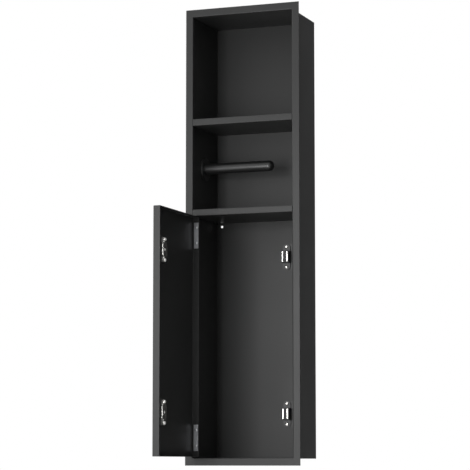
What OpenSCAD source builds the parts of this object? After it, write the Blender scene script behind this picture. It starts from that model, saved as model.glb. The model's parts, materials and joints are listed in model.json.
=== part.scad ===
/* [Front frame] */
// Overall width across the front flange
frame_w = 210; // [190:1:260]
// Overall height of the front flange
frame_h = 800; // [740:5:900]
// How far the flange stands out past the casing on every side
flange_reach = 12; // [8:0.5:18]

/* [Casing] */
// Depth of the casing behind the wall face
casing_d = 120; // [100:1:150]
// Thickness of the folded steel sheet
sheet_t = 1.2; // [1:0.1:1.5]
// Outside radius of every fold
fold_r = 1.8; // [1.7:0.1:2.4]

/* [Shelves] */
// Clear height of the open niche at the top
niche_h = 182; // [150:1:210]
// Clear height of the bay that holds the roll
roll_bay_h = 148; // [140:1:170]
// Height of the folded shelf, seen as its front face
shelf_h = 12; // [8:0.5:16]

/* [Door] */
// Depth of the folded door from its front face to its rim
door_d = 12.5; // [12:0.5:15]
// Gap between the door and the frame at the top, bottom and free side
door_gap = 1.8; // [1.2:0.1:2.5]
// Angle at which the door stands open
door_open = 90; // [0:5:95]

/* [Hinges] */
// Height of each hinge
hinge_h = 45; // [40:1:60]
// Distance from the end of the door to the end of the hinge
hinge_inset = 10; // [6:1:20]
// Outside diameter of the hinge knuckles
knuckle_d = 4; // [3.8:0.1:4.6]
// Diameter of the hinge pin
hinge_pin_d = 2; // [1.6:0.1:2.2]
// Thickness of the hinge leaves
leaf_t = 0.9; // [0.7:0.1:1.1]
// Width of the leaf on the casing wall, from the pin axis
wall_leaf_w = 16; // [13:0.5:20]
// Width of the leaf on the door, from the pin axis
door_leaf_w = 9.4; // [9:0.1:9.8]
// Distance between the two rivets of a leaf
hinge_rivet_pitch = 27; // [22:1:32]
// Diameter of the rivet shanks
rivet_d = 3; // [2.4:0.2:3.2]
// Thickness of the backing plate inside the door
backing_t = 1.5; // [1:0.1:2]

/* [Catches] */
// Distance from the end of the door to the middle of each catch
catch_inset = 73; // [60:1:100]
// Distance from the casing wall to the middle of each catch
catch_from_wall = 19; // [17:0.5:24]
// Height of the catch bracket, housing and striker
catch_h = 44; // [42:0.5:50]
// Width of the catch housing
housing_w = 13; // [12.5:0.1:14]
// Height of the raised block of the housing
housing_block_h = 20; // [19.5:0.1:21]
// Thickness of the housing ears
ear_t = 2.5; // [2:0.1:3]
// Height of the steel poles
pole_h = 17; // [15:0.5:17.5]
// Depth of the steel poles
pole_d = 11; // [9:0.5:13]
// Thickness of each steel pole
pole_t = 1.5; // [1:0.1:1.7]
// Distance between the middles of the two poles
pole_pitch = 8; // [7:0.1:8.5]
// How far the poles stand out of the housing
pole_out = 1.2; // [0.8:0.1:1.6]
// How far the magnet lies behind the housing front
magnet_set_back = 0.8; // [0.4:0.1:1.2]
// Wall left behind the magnet
housing_back_t = 1.4; // [1:0.1:2]
// Thickness of the brackets of catch and striker
bracket_t = 1.5; // [1:0.1:1.7]
// Length of the bracket leg on the casing wall
bracket_leg = 20; // [14:1:30]
// Corner radius of brackets and ears
bracket_corner_r = 6; // [4:0.1:6.2]

/* [Strikers] */
// Width of the striker channel in the door
striker_w = 20; // [18.5:0.5:22]
// Width of the striker plate in its middle, where the poles meet it
striker_plate_w = 18; // [14:0.5:18]
// Height of that wide middle
striker_plate_h = 24; // [20:0.5:26]
// Width of the two ears that take the screws
striker_ear_w = 10; // [9:0.5:12]
// Thickness of the striker plate
striker_plate_t = 2.5; // [1.5:0.1:3]

/* [Screws] */
// Distance between the two screws of a catch or striker
screw_pitch = 35; // [33:0.5:36]
// Diameter of the screw shanks
screw_d = 3; // [2.4:0.1:3.2]
// Diameter of the pan heads
screw_head_d = 5.4; // [4.8:0.1:5.8]
// Height of the pan heads
screw_head_h = 2.2; // [1.6:0.1:2.6]
// Length of the screw shanks
screw_l = 6; // [5:0.5:7]

/* [Roll holder] */
// Diameter of the roll arm
arm_d = 19; // [16:0.5:20]
// Length of the roll arm from the casing wall to its tip
arm_l = 130; // [100:1:140]
// Distance from the wall face back to the arm axis
arm_y = 58; // [48:1:62]
// Distance from the upper shelf down to the arm axis
arm_drop = 69; // [62:1:78]
// Diameter of the wall rosette
rosette_d = 42; // [34:1:50]
// Thickness of the wall rosette
rosette_t = 2.5; // [2:0.1:4]
// Thread diameter of the bolt that holds the arm
bolt_d = 6; // [5:0.5:6]
// How far the bolt reaches into the arm
bolt_in_arm = 14; // [10:1:20]
// Hexagon size of the bolt head across its flats
bolt_head_af = 10; // [9:0.5:10]
// Height of the bolt head
bolt_head_h = 4; // [3:0.5:5]
// Diameter of the washer under the bolt head
washer_d = 14; // [12:0.5:18]
// Thickness of the washer
washer_t = 1.6; // [1:0.1:2]

/* [Fixing holes] */
// Diameter of the two fixing holes in the back panel
fixing_d = 4.5; // [4:0.1:6]
// Distance from the casing wall to the middle of each fixing hole
fixing_from_wall = 8.8; // [6:0.1:30]
// Distance from the lower shelf down to the fixing holes
fixing_drop = 6; // [5:0.5:30]

/* [Clearances] */
// Running clearance round the hinge pin, on the radius
pin_clear = 0.08; // [0.04:0.01:0.1]
// Clearance between knuckles and the faces that pass them
knuckle_clear = 0.2; // [0.15:0.05:0.3]
// Clearance round shanks in their holes, on the radius
hole_clear = 0.05; // [0.03:0.01:0.1]
// Clearance round the poles in the housing pocket
pocket_clear = 0.1; // [0.05:0.01:0.15]
// Gap left between striker and poles when the door is shut
shut_gap = 0.3; // [0.2:0.05:0.5]

/* [Hidden] */
$fn = 64;

// Planes of the opening, measured from the middle of the front frame
opening_edge = flange_reach + sheet_t;
front_y = -sheet_t;
side_x = frame_w / 2 - opening_edge;
opening_top = frame_h / 2 - opening_edge;
casing_w = frame_w - 2 * flange_reach;
casing_h = frame_h - 2 * flange_reach;
back_y = casing_d - sheet_t;

// Heights of the two shelves
upper_shelf_z = opening_top - niche_h - shelf_h;
lower_shelf_z = upper_shelf_z - roll_bay_h - shelf_h;

// The door in its shut place
hinge_gap = knuckle_d + 2 * knuckle_clear;
door_x = -side_x + hinge_gap;
door_w = 2 * side_x - hinge_gap - door_gap;
door_top = lower_shelf_z - door_gap;
door_bottom = door_gap - opening_top;
door_h = door_top - door_bottom;
rim_y = front_y + door_d;

// Hinge pin axis, as far from the wall as from the door and its front
pin_x = -side_x + hinge_gap / 2;
pin_y = front_y + hinge_gap / 2;
pin_bore_r = hinge_pin_d / 2 + pin_clear;
leaf_face = hinge_gap / 2 - leaf_t;
knuckle_count = 5;
knuckle_step = hinge_h / knuckle_count;
knuckle_gap = 0.3;
leaf_root = knuckle_d / 2 + 0.3;
pin_head_d = knuckle_d * 0.85;
pin_head_h = 0.6;
rivet_head_d = 1.55 * rivet_d;
rivet_head_h = 0.6;
rivet_tail_h = 1;
rivet_in_wall_leaf = 0.6 * wall_leaf_w;
rivet_in_door_leaf = 0.6 * door_leaf_w;
backing_start = leaf_root - 0.8;
hinge_middles = [door_top - hinge_inset - hinge_h / 2, door_bottom + hinge_inset + hinge_h / 2];

// Catches and strikers share one middle line
catch_x = side_x - catch_from_wall;
catch_middles = [door_top - catch_inset, door_bottom + catch_inset];
striker_face_y = rim_y + striker_plate_t;
pole_front_y = striker_face_y + shut_gap;
housing_front_y = pole_front_y + pole_out;
pocket_end_y = pole_front_y + pole_d;
bracket_y = pocket_end_y + housing_back_t;
bracket_margin = 1.5;
bracket_reach = catch_from_wall + housing_w / 2 + bracket_margin;
pocket_w = pole_pitch + pole_t + 2 * pocket_clear;
magnet_w = pole_pitch - pole_t;
housing_edge_r = 0.8;
striker_margin = 1;
striker_corner_r = 2;
striker_ear_r = 0.4 * striker_ear_w;

// Roll holder
arm_z = upper_shelf_z - arm_drop;
arm_root_x = -side_x + rosette_t;
bolt_hole_r = bolt_d / 2 + hole_clear;
casing_side_x = side_x + sheet_t;

// Fixing holes, the same distance from both walls
fixing_x = side_x - fixing_from_wall;
fixing_z = lower_shelf_z - fixing_drop;

steel_black = [0.13, 0.135, 0.135];
bright_steel = [0.78, 0.78, 0.76];
zinc_grey = [0.5, 0.51, 0.52];
moulded_black = [0.12, 0.12, 0.125];
ferrite_grey = [0.2, 0.2, 0.21];

// Moves what is drawn in the shut place to where the open door holds it
module on_door() {
    translate([pin_x, pin_y, 0])
        rotate([0, 0, -door_open])
            translate([-pin_x, -pin_y, 0])
                children();
}

// Rectangle across x and deep in y, with its two front corners rounded
module rounded_front(across, deep, r) {
    translate([0, r]) square([across, deep - r]);
    translate([r, 0]) square([across - 2 * r, 2 * r]);
    for (x = [r, across - r]) translate([x, r]) circle(r);
}

// Rectangle with four rounded corners, standing on the origin's corner
module rounded_plate(across, high, r) {
    translate([r, 0]) square([across - 2 * r, high]);
    translate([0, r]) square([across, high - 2 * r]);
    for (x = [r, across - r], y = [r, high - r]) translate([x, y]) circle(r);
}

// Block whose four front edges are folds that meet in mitres
module folded_block(across, deep, high, r) {
    intersection() {
        linear_extrude(height = high) rounded_front(across, deep, r);
        translate([across / 2, 0, 0])
            rotate([0, -90, 0])
                linear_extrude(height = across, center = true)
                    rounded_front(high, deep, r);
    }
}

// Quarter of a bent sheet, whose outside corner lies towards +x and -y
module bend(r, t) {
    intersection() {
        difference() {
            circle(r);
            circle(r - t);
        }
        translate([0, -r]) square(r);
    }
}

// What a square corner leaves round a quarter circle, corner at the origin, curve away from it
module corner_fill(r) {
    difference() {
        square(r);
        translate([r, r]) circle(r);
    }
}

// Section through the mouth, half of it clear of the walls, that flares over the fold
module mouth_section(half) {
    translate([-half, front_y - 1]) square([2 * half, casing_d + 2]);
    for (side = [0, 1])
        mirror([side, 0]) translate([half, front_y]) corner_fill(fold_r);
}

// Section through the outside of the flange and the walls behind it
module outside_section(half) {
    translate([-half - flange_reach, front_y]) square([2 * (half + flange_reach), sheet_t]);
    translate([-half, front_y]) square([2 * half, back_y - front_y]);
    for (side = [0, 1])
        mirror([side, 0]) translate([half, 0]) corner_fill(fold_r - sheet_t);
}

// The four folded walls and their flange, bent from one strip and welded at a corner
module casing_wrap() {
    color(steel_black)
        difference() {
            intersection() {
                linear_extrude(height = frame_h, center = true) outside_section(casing_w / 2);
                rotate([0, -90, 0])
                    linear_extrude(height = frame_w, center = true)
                        outside_section(casing_h / 2);
            }
            intersection() {
                linear_extrude(height = frame_h, center = true) mouth_section(side_x);
                rotate([0, -90, 0])
                    linear_extrude(height = frame_w, center = true) mouth_section(opening_top);
            }
            translate([-casing_side_x - 1, arm_y, arm_z])
                rotate([0, 90, 0]) cylinder(r = bolt_hole_r, h = sheet_t + 2);
            wall_rivet_places()
                translate([0, 0, -sheet_t - leaf_t - 1])
                    cylinder(r = rivet_d / 2 + hole_clear, h = sheet_t + leaf_t + 1);
        }
}

module back_panel() {
    color(steel_black)
        difference() {
            translate([-casing_w / 2, back_y, -casing_h / 2])
                cube([casing_w, sheet_t, casing_h]);
            for (x = [-fixing_x, fixing_x])
                translate([x, back_y - 1, fixing_z])
                    rotate([-90, 0, 0]) cylinder(d = fixing_d, h = sheet_t + 2);
        }
}

// Shelf folded from one sheet: top, front face and underside, open at the back
module shelf(underside_z) {
    color(steel_black)
        translate([0, front_y, underside_z])
            rotate([0, -90, 0])
                linear_extrude(height = 2 * side_x, center = true)
                    difference() {
                        rounded_front(shelf_h, back_y - front_y, fold_r);
                        translate([sheet_t, sheet_t])
                            rounded_front(shelf_h - 2 * sheet_t, casing_d, fold_r - sheet_t);
                    }
}

module upper_shelf() {
    shelf(upper_shelf_z);
}

module lower_shelf() {
    shelf(lower_shelf_z);
}

// Straight arm with a domed tip and a blind hole for its bolt
module roll_arm() {
    straight_l = arm_l - rosette_t - arm_d / 2;
    color(steel_black)
        translate([arm_root_x, arm_y, arm_z])
            rotate([0, 90, 0])
                difference() {
                    union() {
                        cylinder(d = arm_d, h = straight_l);
                        translate([0, 0, straight_l]) sphere(d = arm_d);
                    }
                    translate([0, 0, -1]) cylinder(r = bolt_hole_r, h = bolt_in_arm + 2);
                }
}

// Round cover with a chamfered rim, flat against the casing wall
module roll_rosette() {
    chamfer = rosette_t * 0.4;
    color(steel_black)
        translate([-side_x, arm_y, arm_z])
            rotate([0, 90, 0])
                rotate_extrude()
                    polygon([
                        [bolt_hole_r, 0],
                        [rosette_d / 2, 0],
                        [rosette_d / 2, rosette_t - chamfer],
                        [rosette_d / 2 - chamfer, rosette_t],
                        [bolt_hole_r, rosette_t]
                    ]);
}

module roll_arm_bolt() {
    grip = washer_t + sheet_t + rosette_t;
    color(bright_steel)
        translate([-casing_side_x - washer_t, arm_y, arm_z])
            rotate([0, 90, 0]) {
                cylinder(d = bolt_d, h = grip + bolt_in_arm);
                translate([0, 0, -bolt_head_h])
                    cylinder(d = bolt_head_af / cos(30), h = bolt_head_h, $fn = 6);
            }
}

module roll_arm_washer() {
    color(bright_steel)
        translate([-casing_side_x - washer_t, arm_y, arm_z])
            rotate([0, 90, 0])
                difference() {
                    cylinder(d = washer_d, h = washer_t);
                    translate([0, 0, -1]) cylinder(r = bolt_hole_r, h = washer_t + 2);
                }
}

// Hinge leaf round the pin axis at the origin, plate towards +y on the -x side
module hinge_leaf(plate_w, first, rivet_y) {
    difference() {
        union() {
            translate([-hinge_gap / 2, leaf_root, -hinge_h / 2])
                cube([leaf_t, plate_w - leaf_root, hinge_h]);
            for (i = [first:2:knuckle_count - 1])
                translate([0, 0, i * knuckle_step - hinge_h / 2 + knuckle_gap / 2]) {
                    cylinder(d = knuckle_d, h = knuckle_step - knuckle_gap);
                    translate([-hinge_gap / 2, 0, 0])
                        cube([leaf_t, leaf_root, knuckle_step - knuckle_gap]);
                }
        }
        translate([0, 0, -hinge_h / 2 - 1]) cylinder(r = pin_bore_r, h = hinge_h + 2);
        for (z = [-hinge_rivet_pitch / 2, hinge_rivet_pitch / 2])
            translate([-hinge_gap / 2 - 1, rivet_y, z])
                rotate([0, 90, 0])
                    cylinder(r = rivet_d / 2 + hole_clear, h = leaf_t + 2);
    }
}

module wall_leaf(middle_z) {
    color(zinc_grey)
        translate([pin_x, pin_y, middle_z])
            hinge_leaf(wall_leaf_w, 0, rivet_in_wall_leaf);
}

module door_leaf(middle_z) {
    color(zinc_grey)
        on_door()
            translate([pin_x, pin_y, middle_z])
                mirror([1, 0, 0])
                    hinge_leaf(door_leaf_w, 1, rivet_in_door_leaf);
}

module upper_hinge_wall_leaf() {
    wall_leaf(hinge_middles[0]);
}

module lower_hinge_wall_leaf() {
    wall_leaf(hinge_middles[1]);
}

module upper_hinge_door_leaf() {
    door_leaf(hinge_middles[0]);
}

module lower_hinge_door_leaf() {
    door_leaf(hinge_middles[1]);
}

// Pin with a head at each end, one of them closed after assembly
module hinge_pin(middle_z) {
    head_z = hinge_h / 2 - knuckle_gap / 2;
    color(bright_steel)
        translate([pin_x, pin_y, middle_z]) {
            cylinder(d = hinge_pin_d, h = 2 * head_z + pin_head_h, center = true);
            for (side = [0, 1])
                mirror([0, 0, side])
                    translate([0, 0, head_z]) cylinder(d = pin_head_d, h = pin_head_h);
        }
}

module upper_hinge_pin() {
    hinge_pin(hinge_middles[0]);
}

module lower_hinge_pin() {
    hinge_pin(hinge_middles[1]);
}

// Rivet with its head above the origin, shank and closed tail below
module rivet(grip) {
    cylinder(d = rivet_head_d, h = rivet_head_h);
    translate([0, 0, -grip - rivet_tail_h / 2]) cylinder(d = rivet_d, h = grip + rivet_tail_h);
    translate([0, 0, -grip])
        rotate([180, 0, 0])
            intersection() {
                cylinder(d = rivet_head_d, h = rivet_tail_h);
                translate([0, 0, rivet_tail_h - rivet_head_d * 0.8]) sphere(r = rivet_head_d * 0.8);
            }
}

// Rivet places on the wall leaves, with +z out of the leaf face
module wall_rivet_places() {
    for (middle = hinge_middles, z = [-hinge_rivet_pitch / 2, hinge_rivet_pitch / 2])
        translate([pin_x - leaf_face, pin_y + rivet_in_wall_leaf, middle + z])
            rotate([0, 90, 0])
                children();
}

// Rivet places on the door leaves in the shut place, with +z out of the leaf face
module door_rivet_places() {
    for (middle = hinge_middles, z = [-hinge_rivet_pitch / 2, hinge_rivet_pitch / 2])
        translate([pin_x + leaf_face, pin_y + rivet_in_door_leaf, middle + z])
            rotate([0, -90, 0])
                children();
}

module hinge_wall_rivets() {
    color(bright_steel) wall_rivet_places() rivet(leaf_t + sheet_t);
}

module hinge_door_rivets() {
    color(bright_steel) on_door() door_rivet_places() rivet(leaf_t + sheet_t + backing_t);
}

// Plate behind the door's folded edge that the rivets close on
module backing_plate(middle_z) {
    color(zinc_grey)
        on_door()
            difference() {
                translate([door_x + sheet_t, pin_y + backing_start, middle_z - hinge_h / 2])
                    cube([backing_t, door_leaf_w - backing_start, hinge_h]);
                door_rivet_places()
                    translate([0, 0, -leaf_t - sheet_t - backing_t - 1])
                        cylinder(r = rivet_d / 2 + hole_clear, h = backing_t + 2);
            }
}

module upper_hinge_backing_plate() {
    backing_plate(hinge_middles[0]);
}

module lower_hinge_backing_plate() {
    backing_plate(hinge_middles[1]);
}

// Shallow tray folded from one sheet, open towards the casing when shut
module door_pan() {
    color(steel_black)
        on_door()
            difference() {
                translate([door_x, front_y, door_bottom])
                    folded_block(door_w, door_d, door_h, fold_r);
                translate([door_x + sheet_t, front_y + sheet_t, door_bottom + sheet_t])
                    folded_block(door_w - 2 * sheet_t, door_d, door_h - 2 * sheet_t,
                        fold_r - sheet_t);
                door_rivet_places()
                    translate([0, 0, -leaf_t - sheet_t - 1])
                        cylinder(r = rivet_d / 2 + hole_clear, h = sheet_t + leaf_t + 1);
            }
}

// Pan head screw with a cross recess, head above the origin and shank below
module pan_screw() {
    dome_r = screw_head_d * 0.7;
    recess_w = screw_head_d * 0.15;
    difference() {
        intersection() {
            cylinder(d = screw_head_d, h = screw_head_h);
            translate([0, 0, screw_head_h - dome_r]) sphere(r = dome_r);
        }
        for (turn = [0, 90])
            rotate([0, 0, turn])
                translate([-screw_head_d * 0.3, -recess_w / 2, screw_head_h / 2])
                    cube([screw_head_d * 0.6, recess_w, screw_head_h]);
    }
    translate([0, 0, -screw_l]) cylinder(d = screw_d, h = screw_l + screw_head_h / 4);
}

// Two screw places above and below a middle height
module screw_pair(middle_z) {
    for (z = [-screw_pitch / 2, screw_pitch / 2])
        translate([catch_x, 0, middle_z + z]) children();
}

// Angle welded to the casing wall, with a leg that faces the door
module catch_bracket(middle_z) {
    color(steel_black)
        difference() {
            union() {
                translate([side_x - bracket_reach, bracket_y + bracket_t, middle_z - catch_h / 2])
                    rotate([90, 0, 0])
                        linear_extrude(height = bracket_t)
                            intersection() {
                                rounded_plate(2 * bracket_reach, catch_h, bracket_corner_r);
                                square([bracket_reach - fold_r, catch_h]);
                            }
                translate([side_x - fold_r, bracket_y + fold_r, middle_z - catch_h / 2])
                    linear_extrude(height = catch_h) bend(fold_r, bracket_t);
                translate([side_x - bracket_t, bracket_y + fold_r, middle_z - catch_h / 2])
                    cube([bracket_t, bracket_leg - fold_r, catch_h]);
            }
            screw_pair(middle_z)
                translate([0, bracket_y - 1, 0])
                    rotate([-90, 0, 0])
                        cylinder(r = screw_d / 2 + hole_clear, h = bracket_t + 2);
        }
}

module upper_catch_bracket() {
    catch_bracket(catch_middles[0]);
}

module lower_catch_bracket() {
    catch_bracket(catch_middles[1]);
}

// Housing with two screw ears and a pocket for the magnet and its poles
module catch_housing(middle_z) {
    color(moulded_black)
        difference() {
            union() {
                translate([catch_x - housing_w / 2, bracket_y, middle_z - catch_h / 2])
                    rotate([90, 0, 0])
                        linear_extrude(height = ear_t)
                            rounded_plate(housing_w, catch_h, bracket_corner_r);
                translate([
                    catch_x - housing_w / 2, housing_front_y, middle_z - housing_block_h / 2
                ])
                    folded_block(housing_w, bracket_y - housing_front_y, housing_block_h,
                        housing_edge_r);
            }
            translate([
                catch_x - pocket_w / 2, housing_front_y - 1, middle_z - pole_h / 2 - pocket_clear
            ])
                cube([pocket_w, pocket_end_y - housing_front_y + 1, pole_h + 2 * pocket_clear]);
            screw_pair(middle_z)
                translate([0, bracket_y - ear_t - 1, 0])
                    rotate([-90, 0, 0])
                        cylinder(r = screw_d / 2 + hole_clear, h = ear_t + 2);
        }
}

module upper_catch_housing() {
    catch_housing(catch_middles[0]);
}

module lower_catch_housing() {
    catch_housing(catch_middles[1]);
}

module catch_magnet(middle_z) {
    color(ferrite_grey)
        translate([
            catch_x - magnet_w / 2, housing_front_y + magnet_set_back, middle_z - pole_h / 2
        ])
            cube([magnet_w, pocket_end_y - housing_front_y - magnet_set_back, pole_h]);
}

module upper_catch_magnet() {
    catch_magnet(catch_middles[0]);
}

module lower_catch_magnet() {
    catch_magnet(catch_middles[1]);
}

// Steel plates on both faces of the magnet that lead its pull to the striker
module catch_poles(middle_z) {
    color(bright_steel)
        for (x = [-pole_pitch / 2, pole_pitch / 2])
            translate([catch_x + x - pole_t / 2, pole_front_y, middle_z - pole_h / 2])
                cube([pole_t, pole_d, pole_h]);
}

module upper_catch_poles() {
    catch_poles(catch_middles[0]);
}

module lower_catch_poles() {
    catch_poles(catch_middles[1]);
}

module catch_screws() {
    color(bright_steel)
        for (middle = catch_middles)
            screw_pair(middle)
                translate([0, bracket_y - ear_t, 0])
                    rotate([90, 0, 0]) pan_screw();
}

// Holes through a striker's channel and plate, for its rivet and its two screws
module striker_holes(middle_z) {
    through = bracket_t + striker_plate_t + 2;
    translate([0, rim_y - bracket_t - 1, 0]) {
        translate([catch_x, 0, middle_z])
            rotate([-90, 0, 0]) cylinder(r = rivet_d / 2 + hole_clear, h = through);
        screw_pair(middle_z)
            rotate([-90, 0, 0]) cylinder(r = screw_d / 2 + hole_clear, h = through);
    }
}

// Channel that carries the striker plate, from the door sheet up to the rim, coated with the door
module striker_channel(middle_z) {
    deep = rim_y - front_y - sheet_t;
    color(steel_black)
        on_door()
            difference() {
                translate([catch_x + striker_w / 2, rim_y, middle_z - catch_h / 2])
                    rotate([0, 0, 180])
                        linear_extrude(height = catch_h)
                            difference() {
                                rounded_front(striker_w, deep, fold_r);
                                translate([bracket_t, bracket_t])
                                    rounded_front(striker_w - 2 * bracket_t, deep,
                                        fold_r - bracket_t);
                            }
                striker_holes(middle_z);
            }
}

module upper_striker_channel() {
    striker_channel(catch_middles[0]);
}

module lower_striker_channel() {
    striker_channel(catch_middles[1]);
}

// Plate that the poles pull on, with a narrower ear for a screw at each end
module striker_plate(middle_z) {
    ears_h = catch_h - 2 * striker_margin;
    color(bright_steel)
        on_door()
            difference() {
                translate([catch_x, striker_face_y, middle_z])
                    rotate([90, 0, 0])
                        linear_extrude(height = striker_plate_t) {
                            translate([-striker_plate_w / 2, -striker_plate_h / 2])
                                rounded_plate(striker_plate_w, striker_plate_h, striker_corner_r);
                            translate([-striker_ear_w / 2, -ears_h / 2])
                                rounded_plate(striker_ear_w, ears_h, striker_ear_r);
                        }
                striker_holes(middle_z);
            }
}

module upper_striker_plate() {
    striker_plate(catch_middles[0]);
}

module lower_striker_plate() {
    striker_plate(catch_middles[1]);
}

// Rivet in the middle of each striker, its closed tail between the poles when the door is shut
module striker_rivets() {
    color(bright_steel)
        on_door()
            for (middle = catch_middles)
                translate([catch_x, rim_y - bracket_t, middle])
                    rotate([90, 0, 0]) rivet(bracket_t + striker_plate_t);
}

module striker_screws() {
    color(bright_steel)
        on_door()
            for (middle = catch_middles)
                screw_pair(middle)
                    translate([0, striker_face_y, 0])
                        rotate([-90, 0, 0]) pan_screw();
}

casing_wrap();
back_panel();
upper_shelf();
lower_shelf();
roll_arm();
roll_rosette();
roll_arm_bolt();
roll_arm_washer();
upper_hinge_wall_leaf();
lower_hinge_wall_leaf();
upper_hinge_pin();
lower_hinge_pin();
hinge_wall_rivets();
upper_catch_bracket();
lower_catch_bracket();
upper_catch_housing();
lower_catch_housing();
upper_catch_magnet();
lower_catch_magnet();
upper_catch_poles();
lower_catch_poles();
catch_screws();
door_pan();
upper_hinge_door_leaf();
lower_hinge_door_leaf();
upper_hinge_backing_plate();
lower_hinge_backing_plate();
hinge_door_rivets();
upper_striker_channel();
lower_striker_channel();
upper_striker_plate();
lower_striker_plate();
striker_rivets();
striker_screws();
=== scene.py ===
import json
from math import cos, radians, sin

import bmesh
import bpy
from mathutils import Matrix, Vector

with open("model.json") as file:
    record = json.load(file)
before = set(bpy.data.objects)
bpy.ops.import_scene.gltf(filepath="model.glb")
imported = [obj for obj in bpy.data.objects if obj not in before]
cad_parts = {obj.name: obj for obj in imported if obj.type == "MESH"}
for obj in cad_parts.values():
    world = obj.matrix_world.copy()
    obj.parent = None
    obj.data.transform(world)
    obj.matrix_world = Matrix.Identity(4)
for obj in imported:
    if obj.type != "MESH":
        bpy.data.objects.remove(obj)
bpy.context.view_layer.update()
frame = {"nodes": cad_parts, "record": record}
scene = bpy.context.scene
scene.view_settings.view_transform = "Standard"
print("stage: frame loaded with", len(frame["nodes"]), "nodes")


def addObject(name, data):
    added = bpy.data.objects.new(name, data)
    scene.collection.objects.link(added)
    return added


def facing(direction):
    return direction.to_track_quat("-Z", "Y").to_euler()


# the camera stands at the right, level with the lower edge, and looks up a little
view = {
    "imageSize": 470,
    "sensor": 36.0,
    "focalPixels": 2041.0,
    "yaw": 20.66,
    "pitch": 6.41,
    "place": (1.2264, -3.2876, -0.3977),
    "clipEnd": 60.0,
}


def makeCamera(settings):
    data = bpy.data.cameras.new("camera")
    data.sensor_width = settings["sensor"]
    data.lens = settings["focalPixels"] / settings["imageSize"] * settings["sensor"]
    data.clip_end = settings["clipEnd"]
    yaw, pitch = radians(settings["yaw"]), radians(settings["pitch"])
    forward = Vector((-sin(yaw) * cos(pitch), cos(yaw) * cos(pitch), sin(pitch)))
    camera = addObject("camera", data)
    camera.location = settings["place"]
    camera.rotation_euler = facing(forward)
    scene.camera = camera


makeCamera(view)
print("stage: camera placed")


# short ways to write node trees
white = (1.0, 1.0, 1.0, 1.0)
bevelSamples = 4
floatSocket, colourSocket, vectorSocket = "NodeSocketFloat", "NodeSocketColor", "NodeSocketVector"


def addNode(tree, kind, inputs=None, **settings):
    node = tree.nodes.new(kind)
    for name, value in settings.items():
        setattr(node, name, value)
    for name, value in (inputs or {}).items():
        if isinstance(value, bpy.types.NodeSocket):
            tree.links.new(value, node.inputs[name])
        else:
            node.inputs[name].default_value = value
    return node


def calculate(tree, operation, first, second):
    return addNode(tree, "ShaderNodeMath", {0: first, 1: second}, operation=operation).outputs[0]


def total(tree, first, *others):
    for other in others:
        first = calculate(tree, "ADD", first, other)
    return first


def remap(tree, value, low, high, start=0.0, end=1.0):
    inputs = {"Value": value, "From Min": start, "From Max": end, "To Min": low, "To Max": high}
    return addNode(tree, "ShaderNodeMapRange", inputs).outputs["Result"]


def swing(tree, value, reach, middle=0.0):
    return remap(tree, value, middle - reach, middle + reach)


def noise(tree, place, scale, detail):
    inputs = {"Vector": place, "Scale": scale, "Detail": detail}
    return addNode(tree, "ShaderNodeTexNoise", inputs).outputs["Fac"]


def mixColour(tree, factor, first, second, blend="MIX"):
    inputs = {0: factor, 6: first, 7: second}  # a Mix node keeps its colours in sockets 6 and 7
    return addNode(tree, "ShaderNodeMix", inputs, data_type="RGBA", blend_type=blend).outputs[2]


def startGroup(name, inputs, outputs):
    group = bpy.data.node_groups.new(name, "ShaderNodeTree")
    for label, kind in inputs.items():
        group.interface.new_socket(label, in_out="INPUT", socket_type=kind)
    for label, kind in outputs.items():
        group.interface.new_socket(label, in_out="OUTPUT", socket_type=kind)
    given = group.nodes.new("NodeGroupInput").outputs
    wanted = group.nodes.new("NodeGroupOutput").inputs
    return group, given, wanted


# grain of the powder coat: fine specks over orange peel, with a slow cloud in tone and gloss
powderGrain = {
    "fineScale": 2300.0,
    "fineDetail": 2.0,
    "fineTone": 0.16,
    "fineHeight": 0.35,
    "peelScale": 430.0,
    "peelDetail": 1.0,
    "cloudScale": 11.0,
    "cloudDetail": 3.0,
    "cloudTone": 0.14,
    "roughSwing": 0.05,
}


def powderGroup(grain):
    inputs = {"Place": vectorSocket, "Colour": colourSocket, "Roughness": floatSocket}
    outputs = {"Colour": colourSocket, "Roughness": floatSocket, "Height": floatSocket}
    group, given, wanted = startGroup("powderGrain", inputs, outputs)
    fine = noise(group, given["Place"], grain["fineScale"], grain["fineDetail"])
    peel = noise(group, given["Place"], grain["peelScale"], grain["peelDetail"])
    cloud = noise(group, given["Place"], grain["cloudScale"], grain["cloudDetail"])
    cloudTone = swing(group, cloud, grain["cloudTone"], middle=1.0)
    tone = total(group, cloudTone, swing(group, fine, grain["fineTone"]))
    group.links.new(mixColour(group, 1.0, given["Colour"], tone, "MULTIPLY"), wanted["Colour"])
    cloudRough = swing(group, cloud, grain["roughSwing"])
    fineRough = swing(group, fine, grain["roughSwing"])
    group.links.new(total(group, given["Roughness"], cloudRough, fineRough), wanted["Roughness"])
    fineHeight = calculate(group, "MULTIPLY", fine, grain["fineHeight"])
    group.links.new(total(group, fineHeight, peel), wanted["Height"])
    return group


# mask of the edges, from how far the rounded normal lies off the face's own, as a cosine; it
# lightens the coat there, partly as thinned film and partly as a painted highlight
edgeWearAndHighlight = {"flatFrom": 0.99, "lightenedFrom": 0.72}


def edgeGroup(wear):
    group, given, wanted = startGroup("edgeWearAndHighlight", {"Radius": floatSocket}, {"Mask": floatSocket})
    rounded = addNode(group, "ShaderNodeBevel", {"Radius": given["Radius"]}, samples=bevelSamples)
    face = addNode(group, "ShaderNodeNewGeometry")
    normals = {0: rounded.outputs[0], 1: face.outputs["Normal"]}
    closeness = addNode(group, "ShaderNodeVectorMath", normals, operation="DOT_PRODUCT")
    mask = remap(group, closeness.outputs["Value"], 1.0, 0.0, wear["lightenedFrom"], wear["flatFrom"])
    group.links.new(mask, wanted["Mask"])
    return group


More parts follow.
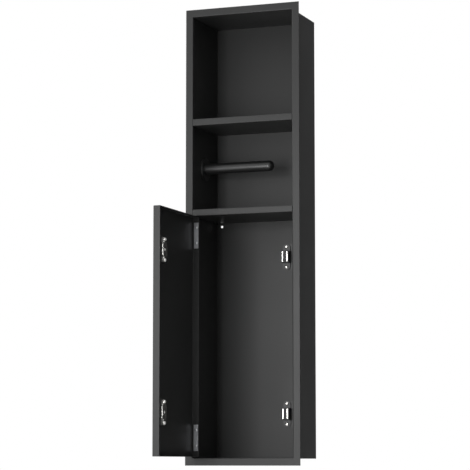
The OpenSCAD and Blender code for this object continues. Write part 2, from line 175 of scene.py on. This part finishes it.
# rolled and plated steel: streaks that run up the piece, and blotches in tone and gloss
rolledGrain = {
    "streakScale": (2600.0, 2600.0, 90.0),
    "streakDetail": 3.0,
    "streakTone": 0.06,
    "streakRough": 0.04,
    "blotchScale": 240.0,
    "blotchDetail": 3.0,
    "blotchTone": 0.1,
}


def rolledGroup(grain):
    inputs = {
        "Place": vectorSocket,
        "Colour": colourSocket,
        "Roughness": floatSocket,
        "Spread": floatSocket,
    }
    outputs = {"Colour": colourSocket, "Roughness": floatSocket, "Height": floatSocket}
    group, given, wanted = startGroup("rolledSteel", inputs, outputs)
    mapping = {"Vector": given["Place"], "Scale": grain["streakScale"]}
    stretched = addNode(group, "ShaderNodeMapping", mapping).outputs[0]
    streak = noise(group, stretched, 1.0, grain["streakDetail"])
    blotch = noise(group, given["Place"], grain["blotchScale"], grain["blotchDetail"])
    blotchTone = swing(group, blotch, grain["blotchTone"], middle=1.0)
    tone = total(group, blotchTone, swing(group, streak, grain["streakTone"]))
    group.links.new(mixColour(group, 1.0, given["Colour"], tone, "MULTIPLY"), wanted["Colour"])
    offMiddle = calculate(group, "SUBTRACT", blotch, 0.5)
    blotchRough = calculate(group, "MULTIPLY", offMiddle, given["Spread"])
    streakRough = swing(group, streak, grain["streakRough"])
    group.links.new(total(group, given["Roughness"], blotchRough, streakRough), wanted["Roughness"])
    group.links.new(streak, wanted["Height"])
    return group


effects = {
    "powder": powderGroup(powderGrain),
    "edge": edgeGroup(edgeWearAndHighlight),
    "rolled": rolledGroup(rolledGrain),
}
print("stage: grain and edge effects built")


def useEffect(tree, name, inputs):
    return addNode(tree, "ShaderNodeGroup", inputs, node_tree=effects[name]).outputs


def startMaterial(name, sockets):
    material = bpy.data.materials.new(name)
    material.use_nodes = True
    shader = material.node_tree.nodes["Principled BSDF"]
    for label, value in sockets.items():
        shader.inputs[label].default_value = value
    return material, material.node_tree, shader


def objectPlace(tree):
    return addNode(tree, "ShaderNodeTexCoord").outputs["Object"]


def bumpTo(tree, shader, height, distance, edgeRadius):
    rounded = addNode(tree, "ShaderNodeBevel", {"Radius": edgeRadius}, samples=bevelSamples)
    inputs = {"Height": height, "Distance": distance, "Strength": 1.0, "Normal": rounded.outputs[0]}
    tree.links.new(addNode(tree, "ShaderNodeBump", inputs).outputs[0], shader.inputs["Normal"])


# matte black powder coat, a little lighter where the film thins over an edge, and lighter there too
# as a painted highlight along the edges
coatLook = {
    "colour": (0.015, 0.0154, 0.0152, 1.0),
    "edgeColour": (0.055, 0.056, 0.056, 1.0),
    "edgeShare": 0.6,
    "roughness": 0.45,
    "specular": 0.42,
    "edgeRadius": 0.0004,
    "grainDepth": 0.00003,
}
# the same black on the turned arm and its rosette, where it lies smoother; its much lighter edge
# colour is a painted highlight that lights the rosette's rim
satinLook = {
    "colour": (0.015, 0.0152, 0.0152, 1.0),
    # painted highlight on the edges of the arm and rosette
    "edgeColour": (0.16, 0.161, 0.161, 1.0),
    "edgeShare": 0.6,
    "roughness": 0.3,
    "specular": 0.6,
    "edgeRadius": 0.0004,
    "grainDepth": 0.000008,
}


def coatMaterial(name, look):
    material, tree, shader = startMaterial(name, {"Specular IOR Level": look["specular"]})
    inputs = {"Place": objectPlace(tree), "Colour": look["colour"], "Roughness": look["roughness"]}
    grain = useEffect(tree, "powder", inputs)
    edge = useEffect(tree, "edge", {"Radius": look["edgeRadius"]})["Mask"]
    # lighter colour on the edges: partly the film thinning over the edge, partly a painted highlight
    # along the edges
    thinFilmAndHighlight = calculate(tree, "MULTIPLY", edge, look["edgeShare"])
    colour = mixColour(tree, thinFilmAndHighlight, grain["Colour"], look["edgeColour"])
    tree.links.new(colour, shader.inputs["Base Color"])
    tree.links.new(grain["Roughness"], shader.inputs["Roughness"])
    bumpTo(tree, shader, grain["Height"], look["grainDepth"], look["edgeRadius"])
    return material


# nickel plate on the arm's bolt, the hinge pins, the poles and the catch screws
nickelLook = {
    "colour": (0.74, 0.73, 0.70, 1.0),
    "roughness": 0.2,
    "spread": 0.12,
    "streakDepth": 0.000004,
    "edgeRadius": 0.0002,
}
# the striker plates are stamped, with a softer edge
stampedLook = {
    "colour": (0.76, 0.75, 0.72, 1.0),
    "roughness": 0.22,
    "spread": 0.12,
    "streakDepth": 0.000004,
    "edgeRadius": 0.0009,
}
# the heads of the striker screws and rivets are domed
headLook = {
    "colour": (0.85, 0.845, 0.83, 1.0),
    "roughness": 0.3,
    "spread": 0.1,
    "streakDepth": 0.000002,
    "edgeRadius": 0.0013,
}
# zinc plate on the hinge leaves, their backing plates and rivets
zincLook = {
    "colour": (0.5, 0.51, 0.53, 1.0),
    "roughness": 0.42,
    "spread": 0.2,
    "streakDepth": 0.000008,
    "edgeRadius": 0.0002,
}


def platedMaterial(name, look):
    material, tree, shader = startMaterial(name, {"Metallic": 1.0})
    inputs = {
        "Place": objectPlace(tree),
        "Colour": look["colour"],
        "Roughness": look["roughness"],
        "Spread": look["spread"],
    }
    metal = useEffect(tree, "rolled", inputs)
    tree.links.new(metal["Colour"], shader.inputs["Base Color"])
    tree.links.new(metal["Roughness"], shader.inputs["Roughness"])
    bumpTo(tree, shader, metal["Height"], look["streakDepth"], look["edgeRadius"])
    return material


# moulded plastic of the catch housings
plasticLook = {
    "colour": (0.022, 0.022, 0.023, 1.0),
    "roughness": 0.42,
    "specular": 0.4,
    "grainDepth": 0.000012,
    "edgeRadius": 0.0003,
}
# sintered ferrite of the magnets
ferriteLook = {
    "colour": (0.035, 0.034, 0.036, 1.0),
    "roughness": 0.7,
    "specular": 0.5,
    "grainDepth": 0.00002,
    "edgeRadius": 0.0002,
}


def grainyMaterial(name, look):
    material, tree, shader = startMaterial(name, {"Specular IOR Level": look["specular"]})
    inputs = {"Place": objectPlace(tree), "Colour": look["colour"], "Roughness": look["roughness"]}
    grain = useEffect(tree, "powder", inputs)
    tree.links.new(grain["Colour"], shader.inputs["Base Color"])
    tree.links.new(grain["Roughness"], shader.inputs["Roughness"])
    bumpTo(tree, shader, grain["Height"], look["grainDepth"], look["edgeRadius"])
    return material


# the finish of each material slot, and of the pieces that differ from theirs
finishes = {
    "black_coated_steel": coatMaterial("blackPowderCoat", coatLook),
    "bright_steel": platedMaterial("nickelPlate", nickelLook),
    "zinc_plated_steel": platedMaterial("zincPlate", zincLook),
    "moulded_plastic": grainyMaterial("mouldedPlastic", plasticLook),
    "magnet_ferrite": grainyMaterial("sinteredFerrite", ferriteLook),
}
satinCoat = coatMaterial("satinBlackCoat", satinLook)
stampedPlate = platedMaterial("stampedNickelPlate", stampedLook)
platedHead = platedMaterial("nickelPlatedHead", headLook)
ownFinishes = {
    "roll_arm": satinCoat,
    "roll_rosette": satinCoat,
    "upper_striker_plate": stampedPlate,
    "lower_striker_plate": stampedPlate,
    "striker_rivets": platedHead,
    "striker_screws": platedHead,
}


def dressNodes():
    for part in frame["record"]["subparts"]:
        mesh = frame["nodes"][part["node"]].data
        mesh.materials.clear()
        mesh.materials.append(ownFinishes.get(part["node"], finishes[part["material_slot"]]))


dressNodes()
print("stage: finishes on the metal and plastic pieces")


# short ways to make the flat stage pieces and the plain white that the camera sees
def flatMesh(name, look):
    shape = bmesh.new()
    segments = look["segments"]
    bmesh.ops.create_grid(shape, x_segments=segments, y_segments=segments, size=0.5)
    bmesh.ops.scale(shape, verts=shape.verts, vec=(*look["size"], 1.0))
    bmesh.ops.rotate(shape, verts=shape.verts, matrix=Matrix.Rotation(radians(look["tilt"]), 3, "Y"))
    bmesh.ops.translate(shape, verts=shape.verts, vec=look["middle"])
    mesh = bpy.data.meshes.new(name)
    shape.to_mesh(mesh)
    shape.free()
    return mesh


def flatSockets(look):
    return {
        "Base Color": look["colour"],
        "Roughness": look["roughness"],
        "Specular IOR Level": look["specular"],
    }


def whiteWhere(tree, cameraShare):
    ray = addNode(tree, "ShaderNodeLightPath").outputs
    seen = calculate(tree, "MULTIPLY", ray["Is Camera Ray"], cameraShare)
    mirrored = calculate(tree, "MAXIMUM", ray["Is Glossy Ray"], ray["Is Transmission Ray"])
    return calculate(tree, "MAXIMUM", seen, mirrored)


# pale floor, 0.35 m below the cabinet
floorLook = {
    "middle": (0.0, 0.0, -0.75),
    "size": (50.0, 50.0),
    "tilt": 0.0,
    "segments": 8,
    "colour": (0.86, 0.86, 0.86, 1.0),
    "roughness": 0.9,
    "specular": 0.1,
    "cameraShare": 0.85,
}


def makeFloor(look):
    mesh = flatMesh("floor", look)
    material, tree, shader = startMaterial("paleFloor", flatSockets(look))
    glow = addNode(tree, "ShaderNodeEmission", {"Color": white, "Strength": 1.0})
    inputs = {0: whiteWhere(tree, look["cameraShare"]), 1: shader.outputs[0], 2: glow.outputs[0]}
    both = addNode(tree, "ShaderNodeMixShader", inputs)
    tree.links.new(both.outputs[0], tree.nodes["Material Output"].inputs["Surface"])
    mesh.materials.append(material)
    addObject("floor", mesh)


makeFloor(floorLook)


# surroundings, white to look at and in reflections, and dimmer as light
worldLook = {"ambient": 0.4, "cameraShare": 1.0}


def makeWorld(look):
    world = bpy.data.worlds.new("studio")
    world.use_nodes = True
    scene.world = world
    tree = world.node_tree
    tree.nodes.clear()
    dim = addNode(tree, "ShaderNodeBackground", {"Color": white, "Strength": look["ambient"]})
    bright = addNode(tree, "ShaderNodeBackground", {"Color": white, "Strength": 1.0})
    inputs = {0: whiteWhere(tree, look["cameraShare"]), 1: dim.outputs[0], 2: bright.outputs[0]}
    both = addNode(tree, "ShaderNodeMixShader", inputs)
    output = addNode(tree, "ShaderNodeOutputWorld")
    tree.links.new(both.outputs[0], output.inputs["Surface"])


makeWorld(worldLook)


# two studio panels stand at the right of the cabinet, outside the picture:
# a grey one beside it and a dark one further back, each with its height and depth as size
panels = {
    "darkPanel": {
        "middle": (0.6, 1.35, 0.23),
        "size": (1.94, 2.1),
        "tilt": 90.0,
        "segments": 4,
        "colour": (0.01, 0.01, 0.01, 1.0),
        "roughness": 1.0,
        "specular": 0.0,
    },
    "greyPanel": {
        "middle": (0.6, -0.3, 0.23),
        "size": (1.94, 1.2),
        "tilt": 90.0,
        "segments": 4,
        "colour": (0.3, 0.3, 0.3, 1.0),
        "roughness": 1.0,
        "specular": 0.0,
    },
}


def makePanel(name, look):
    mesh = flatMesh(name, look)
    mesh.materials.append(startMaterial(name + "Cloth", flatSockets(look))[0])
    panel = addObject(name, mesh)
    panel.visible_camera = False


for panelName, panelLook in panels.items():
    makePanel(panelName, panelLook)


# a narrow softbox in front, a taller one at the left and a wide one overhead
lamps = {
    "keySoftbox": {
        "place": (-0.15, -1.1, -0.1),
        "target": (-0.04, 0.0, -0.07),
        "size": (0.3, 0.65),
        "watts": 6.3,
    },
    "leftSoftbox": {
        "place": (-1.6, -0.8, 0.0),
        "target": (0.0, 0.0, 0.0),
        "size": (0.8, 1.4),
        "watts": 14.0,
    },
    "topSoftbox": {
        "place": (0.0, -0.6, 2.0),
        "target": (0.0, 0.0, 0.0),
        "size": (1.4, 1.4),
        "watts": 18.0,
    },
}


def makeLamp(name, lamp):
    data = bpy.data.lights.new(name, "AREA")
    data.shape = "RECTANGLE"
    data.size, data.size_y = lamp["size"]
    data.energy = lamp["watts"]
    light = addObject(name, data)
    light.location = lamp["place"]
    light.rotation_euler = facing(Vector(lamp["target"]) - Vector(lamp["place"]))


for lampName, lampSettings in lamps.items():
    makeLamp(lampName, lampSettings)
print("stage: floor, surroundings, panels and lamps")
